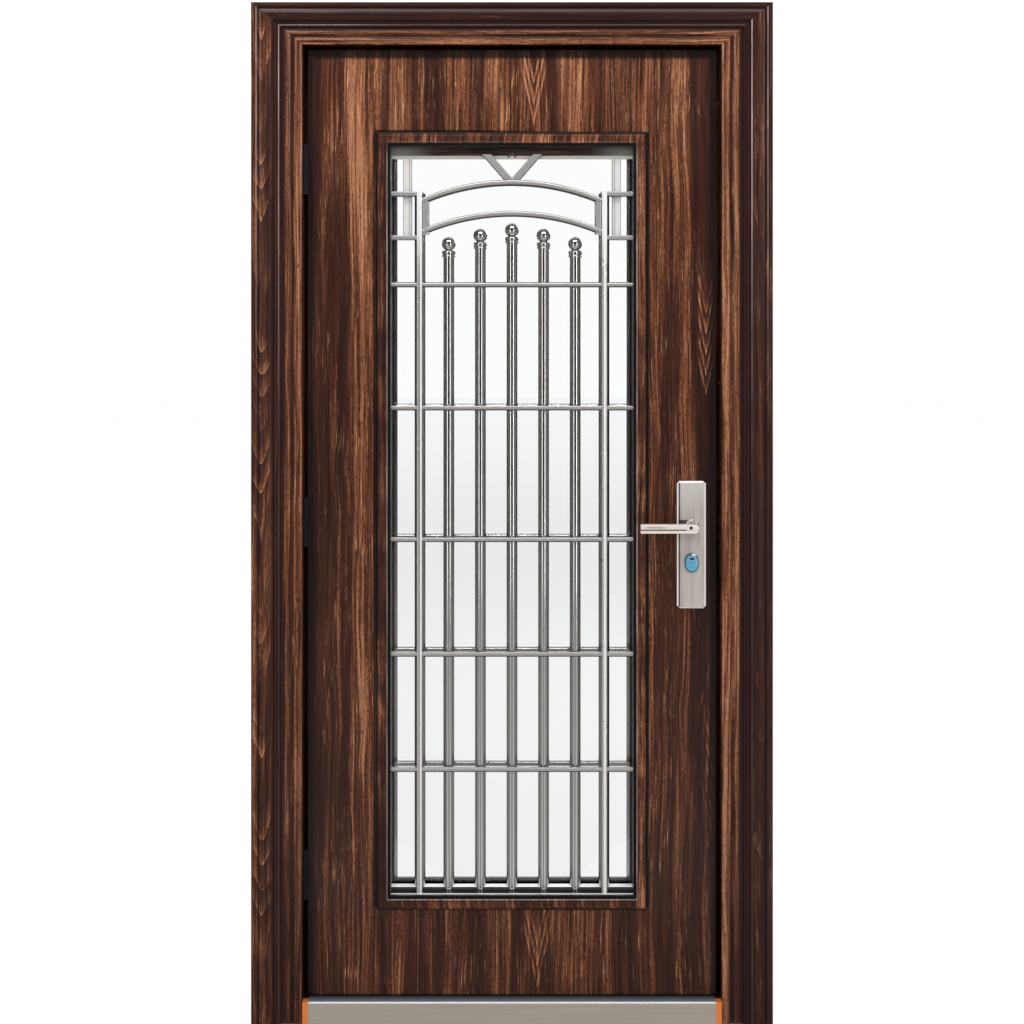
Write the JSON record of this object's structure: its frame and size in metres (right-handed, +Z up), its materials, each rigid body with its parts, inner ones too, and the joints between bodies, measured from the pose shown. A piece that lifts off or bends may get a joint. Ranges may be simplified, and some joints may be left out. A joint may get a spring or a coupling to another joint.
{
  "type": "security door",
  "caption": "Steel security door in a moulded wood-grain frame: out-swinging leaf with a tall grilled and glazed window, lever handle on a long plate and swinging key cover.",
  "frame": {"origin": "centre of the underside of the threshold, at mid depth of the frame", "axes": "+X right seen from outside, +Y into the building, +Z up"},
  "size_m": [1.045, 0.194, 2.05],
  "materials": {
    "frame_wood_print": "satin wood-grain print on steel sheet",
    "leaf_wood_print": "satin wood-grain print on steel sheet",
    "trim_wood_print": "satin wood-grain print on steel strip",
    "threshold_steel": "fine brushed stainless sheet",
    "filler": "plain infill, hidden",
    "orange_end": "moulded",
    "black_rubber": "matt",
    "polished_steel": "polished stainless",
    "grille_steel": "bright stainless tube",
    "satin_nickel": "brushed",
    "zinc_steel": "zinc plated",
    "dark_steel": "burnished dark",
    "cylinder_brass": "satin",
    "blue_cover": "glossy film",
    "pane_glass": "clear"
  },
  "bodies": {
    "frame": {"jamb_left": "frame_wood_print", "jamb_right": "frame_wood_print", "frame_head": "frame_wood_print", "threshold_cover": "threshold_steel", "threshold_core": "filler", "threshold_end_left": "orange_end", "threshold_end_right": "orange_end", "frame_seal": "black_rubber", "strike_plates": "satin_nickel", "hinge_box_bottom": "dark_steel", "hinge_box_middle": "dark_steel", "hinge_box_top": "dark_steel"},
    "leaf": {"leaf_front_skin": "leaf_wood_print", "leaf_back_skin": "leaf_wood_print", "leaf_core_left": "filler", "leaf_core_right": "filler", "leaf_core_top": "filler", "leaf_core_bottom": "filler", "window_trim_front": "trim_wood_print", "window_trim_back": "trim_wood_print", "window_lining": "polished_steel", "glass_pane": "pane_glass", "grille_posts": "polished_steel", "grille_finials": "polished_steel", "grille_side_posts": "polished_steel", "grille_corner_tubes": "polished_steel", "grille_top_rail": "polished_steel", "front_lattice": "grille_steel", "front_arches": "grille_steel", "front_vee": "grille_steel", "back_lattice": "grille_steel", "back_arches": "grille_steel", "back_vee": "grille_steel", "hinge_arm_bottom": "dark_steel", "hinge_arm_middle": "dark_steel", "hinge_arm_top": "dark_steel", "lock_plate_outside": "satin_nickel", "lock_plate_inside": "satin_nickel", "lock_cylinder": "cylinder_brass", "thumb_turn": "satin_nickel", "lock_face_plates": "satin_nickel", "lock_bolts": "polished_steel", "key_cover_pin": "dark_steel"},
    "lever": {"lever_outside": "satin_nickel", "lever_inside": "satin_nickel", "lever_spindle": "zinc_steel"},
    "key_cover": {"key_cover": "blue_cover"}
  },
  "joints": [
    {"name": "leaf_swing", "type": "hinge", "parent": "frame", "child": "leaf", "pos_m": [-0.43, -0.036, 1.00325], "axis": [0, 0, -1], "range_deg": [0, 90]},
    {"name": "lever_turn", "type": "hinge", "parent": "leaf", "child": "lever", "pos_m": [0.362, 0, 1], "axis": [0, -1, 0], "range_deg": [0, 45], "stiffness_Nm_per_rad": 2, "springref_deg": -34.38},
    {"name": "key_cover_swing", "type": "hinge", "parent": "leaf", "child": "key_cover", "pos_m": [0.362, -0.0355, 0.931], "axis": [0, -1, 0], "range_deg": [-110, 110]}
  ]
}
